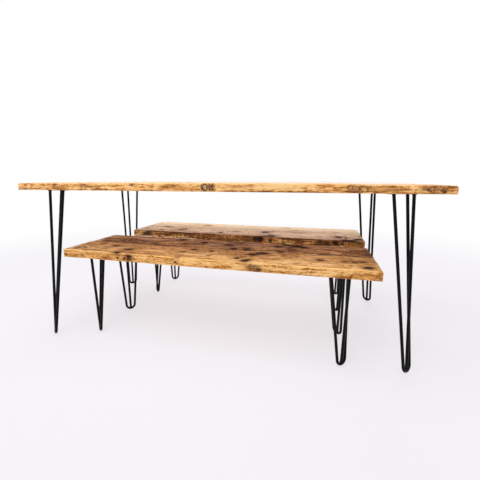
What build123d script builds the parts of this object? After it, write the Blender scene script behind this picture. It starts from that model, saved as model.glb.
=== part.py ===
from build123d import *
import os
from math import atan2, cos, degrees, hypot, pi, sin, sqrt

# A dining-height table with two low benches nested under it.  Every top is
# made of thick planks glued edge to edge and stands on four hairpin legs.
# Millimetres, +Z up, the origin on the floor under the centre of the set.

# ------------------------------------------------------------------ dimensions
ROD_D = 12.0            # round bar of every leg
BEND_R = 23.0           # centreline radius of the bend at the foot
ARM_OFFSET = 70.0       # from the brace rod to each arm, at the plate
PLATE_T = 3.0           # mounting plate
PLATE_BACK = 9.0        # plate edge behind the brace rod
PLATE_REACH = 97.0      # plate end beyond the brace rod
PLATE_ARM = 15.0        # plate's inner edge beyond the brace rod
PLATE_WEB = 40.0        # where the slanting inner edge starts
PLATE_CORNER_R = 8.0
PLATE_END_R = 6.0
PLATE_HOLE_D = 5.5
PLATE_SINK = 1.67       # depth of the 90 degree countersink in each hole
SCREW_SPOTS = [(88.0, -1.0), (35.0, 0.0), (0.0, 35.0), (-1.0, 88.0), (19.0, 19.0)]

SCREW_D = 4.5
SCREW_HEAD_D = 8.8
SCREW_HEAD_T = 2.15     # countersunk, flush with the plate
SCREW_LENGTH = 25.0     # overall
SCREW_TIP = 6.0
PILOT_D = 4.6
PILOT_DEPTH = 23.0
RECESS_W = 1.1
RECESS_L = 4.6
RECESS_DEPTH = 1.5

DOWEL_D = 8.0
DOWEL_HOLE_D = 8.1
DOWEL_L = 39.0
DOWEL_HOLE_DEPTH = 20.0

TOP_ROUND = 4.0         # worn upper edge of a top
BOTTOM_ROUND = 2.5      # lower edge
JOINT_V = 0.8           # small chamfer where two planks meet

TABLE_L = 1800.0
TABLE_W = 750.0
TABLE_T = 33.0
TABLE_LEG_H = 711.0     # floor to the underside of the top
TABLE_FOOT = (813.0, 364.0)
TABLE_BRACE_IN = 37.0   # how far the brace rod leans inward, along both edges
TABLE_PLANKS = 4
TABLE_CORNER_R = 9.0
TABLE_DOWEL_X = [-750.0, -500.0, -250.0, 0.0, 250.0, 500.0, 750.0]

BENCH_L = 1400.0
BENCH_W = 380.0
BENCH_T = 38.0
BENCH_LEG_H = 397.0
BENCH_FOOT = (586.0, 131.0)
BENCH_BRACE_IN = -6.0
BENCH_PLANKS = 2
BENCH_CORNER_R = 9.0
BENCH_DOWEL_X = [-560.0, -280.0, 0.0, 280.0, 560.0]

# Where each piece of furniture stands: centre x, centre y, turn about +Z.
SET_SHIFT_Y = -73.7     # brings the middle of the set's depth to the origin
TABLE_AT = (0.0, SET_SHIFT_Y, 0.0)
FRONT_AT = (-16.6, -200.5 + SET_SHIFT_Y, degrees(-0.0583))
REAR_AT = (32.1, 341.6 + SET_SHIFT_Y, degrees(-0.0677))

os.makedirs("parts", exist_ok=True)


def standing(at):
    """The floor plane of one piece of furniture."""
    x, y, turn = at
    return Plane(
        origin=(x, y, 0),
        x_dir=(cos(turn * pi / 180), sin(turn * pi / 180), 0),
        z_dir=(0, 0, 1),
    )


def moved(plane, x, y, z=0.0, turn=0.0):
    """A plane at x, y, z of another plane, turned about its normal."""
    at = plane.from_local_coords(Vector(x, y, z))
    a = turn * pi / 180
    x_dir = plane.x_dir * cos(a) + plane.y_dir * sin(a)
    return Plane(origin=at, x_dir=x_dir, z_dir=plane.z_dir)


# ------------------------------------------------------------------------ legs
# In a leg's own frame the foot is at 0,0 on the floor, and +X and +Y run
# inward along the two edges of the top that meet at that corner.
def leg_frame(floor, foot, corner):
    """corner 0 front left, 1 front right, 2 rear right, 3 rear left."""
    sx = (-1, 1, 1, -1)[corner]
    sy = (-1, -1, 1, 1)[corner]
    return moved(floor, sx * foot[0], sy * foot[1], 0.0, 90.0 * corner)


def hairpin(frame, leg_h, brace_in):
    """The bar bent to a U: down one arm, round the foot, up the other."""
    z0 = ROD_D / 2
    mid = brace_in + ARM_OFFSET / 2
    lean = Vector(mid, mid, leg_h - z0)
    reach = lean.length
    half = ARM_OFFSET / sqrt(2)
    # the U's own plane: x from arm to arm, y up along the lean
    local = Plane(
        origin=(0, 0, z0),
        x_dir=(1, -1, 0),
        z_dir=Vector(1, -1, 0).cross(lean),
    )
    # the tangent from the arm's upper end to the bend
    dx, dy = half, reach - BEND_R
    far = hypot(dx, dy)
    a = atan2(dx, dy) - atan2(BEND_R, sqrt(far**2 - BEND_R**2))
    tangent = (BEND_R * cos(a), BEND_R - BEND_R * sin(a))
    world = Plane(
        origin=frame.from_local_coords(local.origin),
        x_dir=frame.from_local_coords(local.origin + local.x_dir)
        - frame.from_local_coords(local.origin),
        z_dir=frame.from_local_coords(local.origin + local.z_dir)
        - frame.from_local_coords(local.origin),
    )
    with BuildPart() as bar:
        with BuildLine(world) as route:
            down = Line((-half, reach), (-tangent[0], tangent[1]))
            bend = ThreePointArc(
                (-tangent[0], tangent[1]), (0, 0), (tangent[0], tangent[1])
            )
            up = Line((tangent[0], tangent[1]), (half, reach))
        with BuildSketch(Plane(origin=down @ 0, z_dir=down % 0)):
            Circle(ROD_D / 2)
        sweep(path=route.line)
        split(
            bisect_by=Plane.XY.offset(leg_h - PLATE_T),
            keep=Keep.BOTTOM,
        )
    return bar.part


def brace(frame, leg_h, brace_in, bar):
    """The third rod, welded into the crook of the bend."""
    low = frame.from_local_coords(Vector(0, 0, ROD_D / 2))
    high = frame.from_local_coords(Vector(brace_in, brace_in, leg_h))
    with BuildPart() as rod:
        with BuildSketch(Plane(origin=low, z_dir=high - low)):
            Circle(ROD_D / 2)
        extrude(amount=(high - low).length + 5)
        split(
            bisect_by=Plane.XY.offset(leg_h - PLATE_T),
            keep=Keep.BOTTOM,
        )
        add(bar, mode=Mode.SUBTRACT)
    part = rod.part
    keep = part.solids().sort_by(SortBy.VOLUME)[-1]
    with BuildPart() as coped:
        add(keep)
    return coped.part


def plate(frame, leg_h, brace_in):
    """The flat corner plate that the three rods are welded to."""
    base = moved(frame, brace_in, brace_in, leg_h - PLATE_T)
    with BuildPart() as flat:
        with BuildSketch(base):
            with BuildLine():
                Polyline(
                    (-PLATE_BACK, -PLATE_BACK),
                    (PLATE_REACH, -PLATE_BACK),
                    (PLATE_REACH, PLATE_ARM),
                    (PLATE_WEB, PLATE_ARM),
                    (PLATE_ARM, PLATE_WEB),
                    (PLATE_ARM, PLATE_REACH),
                    (-PLATE_BACK, PLATE_REACH),
                    close=True,
                )
            make_face()
            with Locations(*SCREW_SPOTS):
                Circle(PLATE_HOLE_D / 2, mode=Mode.SUBTRACT)
        extrude(amount=PLATE_T)
        upright = flat.edges().filter_by(Axis.Z).filter_by(GeomType.LINE)
        behind = [
            e
            for e in upright
            if base.to_local_coords(e.center()).X < 0
            and base.to_local_coords(e.center()).Y < 0
        ]
        ends = [
            e
            for e in upright
            if max(
                base.to_local_coords(e.center()).X,
                base.to_local_coords(e.center()).Y,
            )
            > PLATE_REACH - 1
        ]
        fillet(behind, PLATE_CORNER_R)
        fillet(ends, PLATE_END_R)
        rim = flat.faces().sort_by(Axis.Z)[0].outer_wire().edges()
        chamfer(rim, 0.5)
        holes = [
            edge
            for wire in flat.faces().sort_by(Axis.Z)[0].inner_wires()
            for edge in wire.edges()
        ]
        chamfer(holes, PLATE_SINK)
    return flat.part


def screw_frames(floor, foot, leg_h, brace_in):
    """Planes under the plates, one for each screw, facing down."""
    spots = []
    for corner in range(4):
        frame = leg_frame(floor, foot, corner)
        for x, y in SCREW_SPOTS:
            at = moved(frame, brace_in + x, brace_in + y, leg_h - PLATE_T)
            spots.append(
                Plane(origin=at.origin, x_dir=at.x_dir, z_dir=-at.z_dir)
            )
    return spots


def screws(floor, foot, leg_h, brace_in):
    """Countersunk wood screws that hold the four plates to the planks."""
    with BuildPart() as group:
        for spot in screw_frames(floor, foot, leg_h, brace_in):
            with BuildSketch(spot):
                Circle(SCREW_HEAD_D / 2)
            with BuildSketch(spot.offset(-SCREW_HEAD_T)):
                Circle(SCREW_D / 2)
            loft()
            with BuildSketch(spot.offset(-SCREW_HEAD_T)):
                Circle(SCREW_D / 2)
            extrude(amount=-(SCREW_LENGTH - SCREW_TIP - SCREW_HEAD_T))
            with BuildSketch(spot.offset(-(SCREW_LENGTH - SCREW_TIP))):
                Circle(SCREW_D / 2)
            with BuildSketch(spot.offset(-SCREW_LENGTH)):
                Circle(0.4)
            loft()
            with BuildSketch(spot):
                Rectangle(RECESS_L, RECESS_W)
                Rectangle(RECESS_W, RECESS_L)
            extrude(amount=-RECESS_DEPTH, mode=Mode.SUBTRACT)
    return group.part


# ----------------------------------------------------------------------- tops
def plank(floor, size, leg_h, planks, index, corner_r, foot, brace_in, dowel_x):
    """One plank of a top, with the holes for its screws and dowels."""
    length, width, thick = size
    each = width / planks
    y0 = -width / 2 + index * each
    front, rear = index == 0, index == planks - 1
    base = moved(floor, 0, 0, leg_h)
    with BuildPart() as board:
        with BuildSketch(moved(base, 0, y0 + each / 2)):
            outline = Rectangle(length, each)
            outer = []
            if front:
                outer += outline.vertices().group_by(Axis.Y)[0]
            if rear:
                outer += outline.vertices().group_by(Axis.Y)[-1]
            if outer:
                fillet(outer, corner_r)
        extrude(amount=thick)

        def local(shape):
            return base.to_local_coords(shape.center())

        def meets_next(edge):
            p = local(edge)
            inner_low = not front and abs(p.Y - y0) < 0.01
            inner_high = not rear and abs(p.Y - y0 - each) < 0.01
            return inner_low or inner_high

        top = board.faces().sort_by(Axis.Z)[-1]
        fillet([e for e in top.edges() if not meets_next(e)], TOP_ROUND)
        low = board.faces().sort_by(Axis.Z)[0]
        fillet([e for e in low.edges() if not meets_next(e)], BOTTOM_ROUND)
        top = board.faces().filter_by(Axis.Z).sort_by(Axis.Z)[-1]
        chamfer([e for e in top.edges() if meets_next(e)], JOINT_V)

        # pilot holes for the screws that fall in this plank
        for spot in screw_frames(floor, foot, leg_h, brace_in):
            y = base.to_local_coords(spot.origin).Y
            if y0 < y < y0 + each:
                with BuildSketch(spot.offset(-PLATE_T)):
                    Circle(PILOT_D / 2)
                extrude(amount=-PILOT_DEPTH, mode=Mode.SUBTRACT)

        # dowel holes in the edges that are glued
        sides = []
        if not front:
            sides.append((y0, 1))
        if not rear:
            sides.append((y0 + each, -1))
        for y, inward in sides:
            for x in dowel_x:
                at = base.from_local_coords(Vector(x, y, thick / 2))
                face = Plane(
                    origin=at, x_dir=base.x_dir, z_dir=base.y_dir * inward
                )
                with BuildSketch(face):
                    Circle(DOWEL_HOLE_D / 2)
                extrude(amount=DOWEL_HOLE_DEPTH, mode=Mode.SUBTRACT)
    return board.part


def dowels(floor, width, thick, leg_h, planks, dowel_x):
    """Beech dowels, half in each of two neighbouring planks."""
    base = moved(floor, 0, 0, leg_h + thick / 2)
    with BuildPart() as pins:
        for joint in range(1, planks):
            y = -width / 2 + joint * width / planks
            for x in dowel_x:
                at = base.from_local_coords(Vector(x, y - DOWEL_L / 2, 0))
                with BuildSketch(
                    Plane(origin=at, x_dir=base.x_dir, z_dir=base.y_dir)
                ):
                    Circle(DOWEL_D / 2)
                extrude(amount=DOWEL_L)
        chamfer(pins.edges().filter_by(GeomType.CIRCLE), 0.8)
    return pins.part


# ------------------------------------------------------------------ the pieces
CORNERS = ("front_left", "front_right", "rear_right", "rear_left")
PLANK_NAMES = {
    4: ("plank_front", "plank_front_inner", "plank_rear_inner", "plank_rear"),
    2: ("plank_front", "plank_rear"),
}


def save(part, label):
    part.label = label
    export_step(part, f"parts/{label}.step")


def furniture(
    name, at, size, leg_h, foot, brace_in, planks, corner_r, dowel_x
):
    """All the pieces of one table or bench, each written on its own."""
    floor = standing(at)
    for corner, where in enumerate(CORNERS):
        frame = leg_frame(floor, foot, corner)
        bar = hairpin(frame, leg_h, brace_in)
        save(bar, f"{name}_{where}_hairpin_rod")
        save(brace(frame, leg_h, brace_in, bar), f"{name}_{where}_brace_rod")
        save(plate(frame, leg_h, brace_in), f"{name}_{where}_leg_plate")
    for index, plank_name in enumerate(PLANK_NAMES[planks]):
        board = plank(
            floor, size, leg_h, planks, index, corner_r, foot, brace_in, dowel_x
        )
        save(board, f"{name}_{plank_name}")
    pins = dowels(floor, size[1], size[2], leg_h, planks, dowel_x)
    save(pins, f"{name}_dowels")
    save(screws(floor, foot, leg_h, brace_in), f"{name}_plate_screws")


furniture(
    "table",
    TABLE_AT,
    (TABLE_L, TABLE_W, TABLE_T),
    TABLE_LEG_H,
    TABLE_FOOT,
    TABLE_BRACE_IN,
    TABLE_PLANKS,
    TABLE_CORNER_R,
    TABLE_DOWEL_X,
)
for bench, bench_at in (("front_bench", FRONT_AT), ("rear_bench", REAR_AT)):
    furniture(
        bench,
        bench_at,
        (BENCH_L, BENCH_W, BENCH_T),
        BENCH_LEG_H,
        BENCH_FOOT,
        BENCH_BRACE_IN,
        BENCH_PLANKS,
        BENCH_CORNER_R,
        BENCH_DOWEL_X,
    )
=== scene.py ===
import math

import bpy
import numpy as np
from mathutils import Matrix, Vector


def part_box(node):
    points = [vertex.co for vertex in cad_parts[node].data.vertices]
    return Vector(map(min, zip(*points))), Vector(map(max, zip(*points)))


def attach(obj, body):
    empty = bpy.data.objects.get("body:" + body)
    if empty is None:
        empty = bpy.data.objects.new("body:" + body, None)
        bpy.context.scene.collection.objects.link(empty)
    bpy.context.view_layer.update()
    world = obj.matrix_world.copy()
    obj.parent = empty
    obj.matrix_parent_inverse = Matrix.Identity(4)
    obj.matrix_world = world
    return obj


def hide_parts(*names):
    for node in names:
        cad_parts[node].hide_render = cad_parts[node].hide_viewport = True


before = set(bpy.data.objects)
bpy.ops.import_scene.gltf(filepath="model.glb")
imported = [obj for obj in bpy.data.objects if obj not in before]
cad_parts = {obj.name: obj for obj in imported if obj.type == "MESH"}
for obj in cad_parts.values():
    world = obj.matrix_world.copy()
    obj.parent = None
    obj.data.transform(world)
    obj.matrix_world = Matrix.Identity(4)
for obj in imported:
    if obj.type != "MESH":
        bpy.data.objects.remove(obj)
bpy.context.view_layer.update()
MM = 0.001

# --------------------------------------------------------------------------
# Places, in metres, as the CAD model has them
# --------------------------------------------------------------------------
t_lo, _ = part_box("table_plank_front")
_, t_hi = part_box("table_plank_rear")
TABLE_Y = (t_lo.y + t_hi.y) / 2
TABLE_Z = t_lo.z
PLACES = {
    "table": dict(
        at=(0.0, TABLE_Y, 0.0), length=1800.0, width=750.0, thick=33.0, leg=711.0,
        foot=(813.0, 364.0), brace=37.0, planks=4, bow=0.0,
    ),
    "front_bench": dict(
        at=(-0.0166, TABLE_Y - 0.2005, -0.0583), length=1400.0, width=380.0,
        thick=38.0, leg=397.0, foot=(586.0, 131.0), brace=-6.0, planks=2, bow=1.6, trim=0.56,
    ),
    "rear_bench": dict(
        at=(0.0321, TABLE_Y + 0.3416, -0.0677), length=1400.0, width=380.0,
        thick=38.0, leg=397.0, foot=(586.0, 131.0), brace=-6.0, planks=2, bow=2.0, trim=0.64,
    ),
}


def placed(body, z=0.0):
    x, y, yaw = PLACES[body]["at"]
    return Matrix.Translation((x, y, z)) @ Matrix.Rotation(yaw, 4, "Z")


# --------------------------------------------------------------------------
# Node building
# --------------------------------------------------------------------------
class Net:
    """A short way to write node trees: sockets and numbers mix freely."""

    def __init__(self, name):
        self.mat = bpy.data.materials.new(name)
        self.mat.use_nodes = True
        self.t = self.mat.node_tree
        self.t.nodes.clear()

    def new(self, kind, **props):
        n = self.t.nodes.new(kind)
        for k, v in props.items():
            setattr(n, k, v)
        return n

    def put(self, socket, value):
        if isinstance(value, bpy.types.NodeSocket):
            self.t.links.new(value, socket)
        elif value is not None:
            socket.default_value = value

    def math(self, op, a, b=None, c=None, clamp=False):
        n = self.new("ShaderNodeMath", operation=op, use_clamp=clamp)
        for s, v in zip(n.inputs, (a, b, c)):
            self.put(s, v)
        return n.outputs[0]

    def vec(self, op, a, b=None, c=None):
        n = self.new("ShaderNodeVectorMath", operation=op)
        for s, v in zip(n.inputs, (a, b, c)):
            self.put(s, v)
        return n.outputs["Value"] if op in ("LENGTH", "DOT_PRODUCT", "DISTANCE") else n.outputs[0]

    def scale(self, a, k):
        n = self.new("ShaderNodeVectorMath", operation="SCALE")
        self.put(n.inputs[0], a)
        self.put(n.inputs["Scale"], k)
        return n.outputs[0]

    def ranged(self, v, a0, a1, b0, b1, kind="SMOOTHSTEP"):
        n = self.new("ShaderNodeMapRange", interpolation_type=kind, clamp=True)
        for s, x in zip(n.inputs, (v, a0, a1, b0, b1)):
            self.put(s, x)
        return n.outputs[0]

    def noise(self, vector, scale=1.0, detail=2.0, rough=0.5, distortion=0.0):
        n = self.new("ShaderNodeTexNoise", noise_dimensions="3D")
        self.put(n.inputs["Vector"], vector)
        n.inputs["Scale"].default_value = scale
        n.inputs["Detail"].default_value = detail
        n.inputs["Roughness"].default_value = rough
        n.inputs["Distortion"].default_value = distortion
        return n.outputs["Fac"], n.outputs["Color"]

    def noise1(self, w, scale=1.0, detail=2.0, rough=0.5):
        n = self.new("ShaderNodeTexNoise", noise_dimensions="1D")
        self.put(n.inputs["W"], w)
        n.inputs["Scale"].default_value = scale
        n.inputs["Detail"].default_value = detail
        n.inputs["Roughness"].default_value = rough
        return n.outputs["Fac"]

    def ramp(self, fac, stops, interpolation="LINEAR"):
        n = self.new("ShaderNodeValToRGB")
        n.color_ramp.interpolation = interpolation
        e = n.color_ramp.elements
        while len(e) > 1:
            e.remove(e[-1])
        e[0].position = stops[0][0]
        e[0].color = tuple(stops[0][1]) + (1,)
        for at, colour in stops[1:]:
            e.new(at).color = tuple(colour) + (1,)
        self.put(n.inputs[0], fac)
        return n.outputs[0]

    def mix(self, fac, a, b, blend="MIX"):
        n = self.new("ShaderNodeMix", data_type="RGBA", blend_type=blend, clamp_factor=True)
        self.put(n.inputs[0], fac)
        for s, v in ((n.inputs[6], a), (n.inputs[7], b)):
            self.put(s, v if isinstance(v, bpy.types.NodeSocket) else tuple(v) + (1,))
        return n.outputs[2]

    def bump(self, height, distance, strength=1.0, normal=None):
        n = self.new("ShaderNodeBump")
        n.inputs["Strength"].default_value = strength
        n.inputs["Distance"].default_value = distance
        self.put(n.inputs["Height"], height)
        if normal is not None:
            self.put(n.inputs["Normal"], normal)
        return n.outputs[0]

    def turned(self, v, angles):
        node = self.new("ShaderNodeVectorRotate")
        node.rotation_type = "EULER_XYZ"
        self.put(node.inputs["Vector"], v)
        node.inputs["Rotation"].default_value = angles
        return node.outputs[0]

    def finish(self, colour, rough, normal=None, **fixed):
        b = self.new("ShaderNodeBsdfPrincipled")
        self.put(b.inputs["Base Color"], colour)
        self.put(b.inputs["Roughness"], rough)
        if normal is not None:
            self.put(b.inputs["Normal"], normal)
        for k, v in fixed.items():
            b.inputs[k.replace("_", " ")].default_value = v
        out = self.new("ShaderNodeOutputMaterial")
        self.t.links.new(b.outputs[0], out.inputs[0])
        return self.mat


# --------------------------------------------------------------------------
# What each plank shows.  Millimetres in its table's or bench's own frame:
# x along the length from the middle, y across from the middle, z up from
# the underside of the top.  On the top a mark is (x, y, half length, half
# width, strength), on the front or rear edge (x, z, half length, half
# height, strength).  A sixth number leans the mark, in degrees.  Knots darken
# and bend the grain, strokes are dark cracks and resin lines.  Stains only
# darken: most are real stains, and some are painted shade, such as the line
# under the table's lower front arris.  Lights pale: most are pale wood, and on
# the rear bench's tops they are painted light.  Grey zones are painted sheen.
# Reds turn orange.
# --------------------------------------------------------------------------
PLANKS = {
    "table_plank_front": dict(
        coat=0.15, edge_lift_shade=0.09, stain_and_shade_colour=(0.22, 0.084, 0.020), edge_tint=(1.0, 0.90, 0.76), dull=0.04, saw=0.12, arris_wear_highlight=0.5, grain=1.12, pith=(-330.0, -75.0), spacing=4.6, tone=0.50, seed=3.0,
        strokes=dict(
            front=[(-700, 12, 44, 2.4, 0.50, 9), (-560, 25, 34, 2.4, 0.50, -12), (-530, 13, 44, 2.6, 0.46, 6),
                   (-815, 8.5, 66, 1.8, 0.55, 1), (12, 17, 15, 2.6, 0.62, 70), (29, 22, 9, 2.6, 0.60, -55),
                   (556, 15, 34, 2.8, 0.34, -14), (590, 22, 26, 2.6, 0.36, 16), (540, 25, 22, 3, 0.30, 20),
                   (812, 20, 36, 2.8, 0.38, -20), (850, 12, 22, 3.0, 0.50, -60), (828, 27, 30, 2.6, 0.36, 4),
                   (790, 16, 20, 2.6, 0.34, 30), (868, 24, 14, 3, 0.36, 70), (-330, 25, 14, 3, 0.5, 10)],
        ),
        knots=dict(
            top=[(-566, -300, 30, 15, 0.75), (-140, -255, 34, 16, 0.85),
                 (420, -310, 30, 15, 0.8), (700, -240, 24, 12, 0.6)],
            front=[
                (-705, 24, 6, 8, 0.34), (-662, 19, 7, 6, 0.30),
                (-329, 26, 8, 5, 0.72), (-240, 17, 5, 4, 0.5),
                (3, 24, 4, 6, 0.85), (9, 11, 5, 6, 0.80), (18, 22, 4, 5, 0.66), (20, 9, 5, 4, 0.70), (-25, 17, 4, 13, 0.80),
                (540, 27, 5, 3, 0.50), (552, 15, 4, 4, 0.42), (566, 26, 4, 3, 0.42), (576, 16, 5, 5, 0.62),
                (586, 24, 4, 4, 0.46), (602, 14, 4, 5, 0.52), (614, 24, 4, 4, 0.44), (560, 8, 5, 3, 0.40),
                (788, 23, 4, 4, 0.46), (803, 16, 5, 4, 0.62), (820, 25, 5, 4, 0.52),
                (836, 18, 5, 4, 0.48), (856, 8, 7, 6, 0.80), (848, 25, 5, 4, 0.55),
                (864, 18, 4, 5, 0.50),
            ],
            rear=[(-600, 17, 14, 10, 0.75), (230, 14, 16, 11, 0.85)],
        ),
        eyes=dict(front=[(-13, 17, 9, 13, 0.97)]),
        stains_and_shade=dict(
            front=[
                (-870, 6, 26, 9, 0.6), (-800, 9, 62, 2.2, 0.6), (-760, 14, 40, 2, 0.4),
                (-708, 21, 9, 12, 0.55), (-676, 5, 34, 6, 0.55), (-520, 17, 50, 6, 0.68),
                (-572, 20, 8, 13, 0.5), (-470, 22, 40, 5, 0.45), (-385, 9, 30, 4, 0.35),
                # painted shade: the two long thin marks low on this edge at x 200 and 370 darken the line under the
                # lower front arris
                (200, 3.2, 160, 3.0, 0.9), (370, 2.8, 100, 3.2, 0.95), (12, 17, 19, 18, 0.72),
                (700, 9, 44, 4, 0.35), (572, 18, 50, 17, 0.18), (826, 16, 54, 16, 0.22),
                (868, 16, 26, 20, 0.30), (-130, 26, 60, 3, 0.35), (-60, 8, 40, 3, 0.3),
                (430, 14, 30, 5, 0.35), (690, 26, 40, 3, 0.4), (700, 14, 34, 12, 0.30),
            ],
        ),
        lights=dict(
            front=[
                (-815, 13, 58, 3, 0.75), (-770, 18, 60, 2.6, 0.55), (-684, 24, 7, 7, 0.9),
                (-622, 20, 20, 5, 0.75), (-596, 13, 18, 4, 0.75), (-545, 9, 44, 2.6, 0.85),
                (-440, 12, 40, 2.6, 0.6), (-250, 12, 60, 4, 0.35), (44, 17, 14, 17, 0.6),
                (150, 20, 60, 7, 0.5), (235, 21, 80, 9, 0.95), (215, 14, 60, 4, 0.7),
                (322, 18, 46, 11, 1.0), (345, 11, 40, 5, 0.8), (410, 20, 22, 12, 1.0), (290, 27, 120, 3.5, 0.9),
                (750, 24, 5, 9, 0.95), (757, 15, 5, 9, 0.95), (744, 7, 18, 3, 0.6),
                (668, 18, 40, 4, 0.4), (60, 22, 60, 6, 0.55), (130, 10, 60, 5, 0.5),
            ],
        ),
        reds=dict(front=[(-676, 7, 40, 9, 0.7), (660, 17, 70, 14, 0.55), (120, 22, 60, 9, 0.3)]),
        burls=dict(front=[(576, 18, 46, 18, 1.0), (826, 16, 56, 18, 0.95), (18, 16, 20, 18, 0.9),
                          (-560, 18, 60, 6, 0.7), (-700, 20, 20, 12, 0.5)]),
    ),
    "table_plank_front_inner": dict(
        coat=0.9, pith=(-60.0, -90.0), spacing=5.0, tone=0.26, seed=11.0,
        knots=dict(top=[(-690, -90, 28, 14, 0.8), (-250, -120, 22, 11, 0.7),
                        (150, -60, 34, 16, 0.85), (560, -140, 26, 13, 0.75)]),
    ),
    "table_plank_rear_inner": dict(
        coat=0.9, pith=(120.0, 110.0), spacing=4.6, tone=0.66, seed=23.0,
        knots=dict(top=[(-520, 60, 34, 16, 0.85), (-40, 130, 24, 12, 0.75),
                        (330, 80, 20, 10, 0.6), (760, 120, 28, 14, 0.8)]),
    ),
    "table_plank_rear": dict(
        coat=0.9, pith=(320.0, -70.0), spacing=4.2, tone=0.40, seed=37.0,
        knots=dict(top=[(-770, 290, 28, 14, 0.75), (-330, 250, 30, 15, 0.85),
                        (90, 320, 22, 12, 0.7), (510, 270, 32, 15, 0.8)],
                   rear=[(-600, 17, 14, 10, 0.75), (230, 14, 16, 11, 0.85), (655, 20, 10, 7, 0.7)]),
    ),
    "front_bench_plank_front": dict(
        edge_lift_shade=0.25, dull=0.04, edge_tint=(1.0, 0.885, 0.70), saw=0.26, saw_marks=0.42, arris_wear_highlight=0.9, stain_and_shade_colour=(0.20, 0.078, 0.022), grain=1.08, pith=(-150.0, -60.0), spacing=4.4, tone=0.46, seed=5.0,
        strokes=dict(
            top=[(212, -40, 46, 11, 0.97, 52), (168, -62, 40, 9, 0.62, 12), (196, -82, 34, 8, 0.70, 70),
                 (-455, -64, 50, 8, 0.45, 6), (620, -76, 60, 9, 0.62, 8), (152, -118, 26, 9, 0.66, 75),
                 (186, -150, 22, 12, 0.85, 40), (-428, -150, 26, 8, 0.55, 60)],
            front=[(-343, 17, 13, 6, 0.95, -64), (196, 16, 14, 2.6, 0.40, 82), (240, 27, 28, 2.2, 0.50, 10),
                   (-336, 10, 12, 3, 0.50, 66), (232, 8, 26, 2.6, 0.34, 4)],
        ),
        sawn=dict(front=[(456, 19, 222, 60, 1.0), (-120, 19, 160, 60, 0.35)]),
        knots=dict(
            top=[
                (-498, -66, 26, 16, 0.62), (-515, -125, 11, 8, 0.55), (-398, -114, 26, 17, 0.78),
                (-412, -177, 21, 11, 0.97), (-101, -34, 18, 12, 0.80), (-133, -93, 14, 10, 0.68),
                (-7, -44, 12, 11, 0.80), (-110, -181, 9, 6, 0.7), (226, -28, 30, 17, 0.97),
                (192, -58, 22, 15, 0.95), (138, -134, 12, 12, 0.94), (178, -165, 19, 15, 0.97),
                (156, -103, 13, 10, 0.5), (325, -52, 9, 8, 0.6), (478, -86, 17, 12, 0.75),
                (577, -78, 14, 8, 0.7), (612, -80, 16, 9, 0.84), (645, -72, 14, 9, 0.8),
                (598, -50, 9, 6, 0.6), (652, -152, 21, 15, 0.97), (8, -125, 8, 8, 0.5),
                (-590, -40, 12, 7, 0.5), (390, -150, 8, 5, 0.45), (-250, -60, 9, 6, 0.45),
            ],
            front=[
                (-594, 14, 9, 6, 0.45), (-405, 15, 7, 6, 0.78), (-369, 15, 6, 8, 0.78),
                (-347, 25, 16, 8, 0.98), (-352, 13, 6, 9, 0.88), (-322, 16, 4, 5, 0.55),
                (-124, 15, 6, 5, 0.80), (222, 7, 24, 6, 0.50), (-460, 12, 10, 8, 0.25),
                (206, 20, 6, 9, 0.55), (232, 23, 16, 4, 0.5), (240, 10, 12, 7, 0.62),
            ],
        ),
        eyes=dict(top=[(-641, -136, 22, 13, 0.92)]),
        stains_and_shade=dict(
            top=[(-300, 0, 200, 9, 0.35), (672, -60, 30, 110, 0.34), (-560, -110, 60, 22, 0.22),
                 (150, -60, 60, 50, 0.35), (-640, -60, 60, 30, 0.25), (610, -74, 60, 18, 0.4),
                 (-400, -130, 60, 40, 0.08)],
            front=[
                (-460, 12, 26, 14, 0.30), (-660, 8, 46, 10, 0.34), (196, 28, 24, 2.4, 0.6),
                (300, 6, 60, 4.5, 0.40), (400, 8, 30, 4, 0.30), (684, 18, 15, 26, 0.36),
                (-200, 5, 90, 5, 0.22), (60, 5, 100, 5, 0.22), (560, 5, 100, 4, 0.20),
                (-360, 12, 40, 14, 0.22), (-530, 22, 40, 3, 0.25), (204, 13, 26, 15, 0.5), (238, 9, 24, 8, 0.55),
                (-690, 19, 14, 22, 0.35), (-640, 4, 60, 4, 0.5), (-346, 18, 22, 16, 0.4),
            ],
        ),
        lights=dict(
            top=[(-470, -150, 50, 14, 0.5), (-470, -92, 30, 10, 0.4), (-60, -125, 120, 26, 0.42),
                 (60, -150, 60, 24, 0.35), (420, -140, 140, 34, 0.40), (-280, -110, 70, 24, 0.3)],
            front=[(-620, 22, 60, 5, 0.45), (-290, 22, 60, 5, 0.5), (-30, 20, 120, 8, 0.42),
                   (160, 16, 32, 9, 0.75), (120, 24, 70, 4, 0.6), (330, 19, 120, 6, 0.55),
                   (300, 26, 100, 3, 0.6), (520, 22, 110, 5, 0.6), (440, 14, 150, 9, 0.25), (505, 9, 50, 8, 0.55)],
        ),
        burls=dict(front=[(224, 15, 34, 20, 0.8), (-352, 16, 34, 16, 0.5)]),
        reds=dict(top=[(-390, -160, 24, 14, 0.6), (-85, -30, 16, 10, 0.7), (195, -150, 30, 20, 0.5)],
                  front=[(-452, 12, 26, 12, 0.5), (-650, 9, 50, 9, 0.5), (-372, 10, 60, 9, 0.35),
                         (-470, 18, 220, 26, 0.28)]),
    ),
    "front_bench_plank_rear": dict(
        shine=(0.13, 0.52), dull=0.28, grain=1.15, pith=(60.0, -110.0), spacing=4.8, tone=0.78, seed=17.0,
        strokes=dict(
            top=[(145, 6, 46, 9, 0.80, 84), (350, 146, 62, 20, 0.86, -28), (338, 100, 44, 12, 0.66, 80),
                 (-300, 6, 210, 7, 0.72, 1), (-395, 66, 60, 8, 0.45, -4), (60, 60, 60, 8, 0.45, 10),
                 (-150, 90, 70, 9, 0.40, 6), (430, 60, 80, 8, 0.40, -3)],
        ),
        knots=dict(
            top=[
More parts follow.
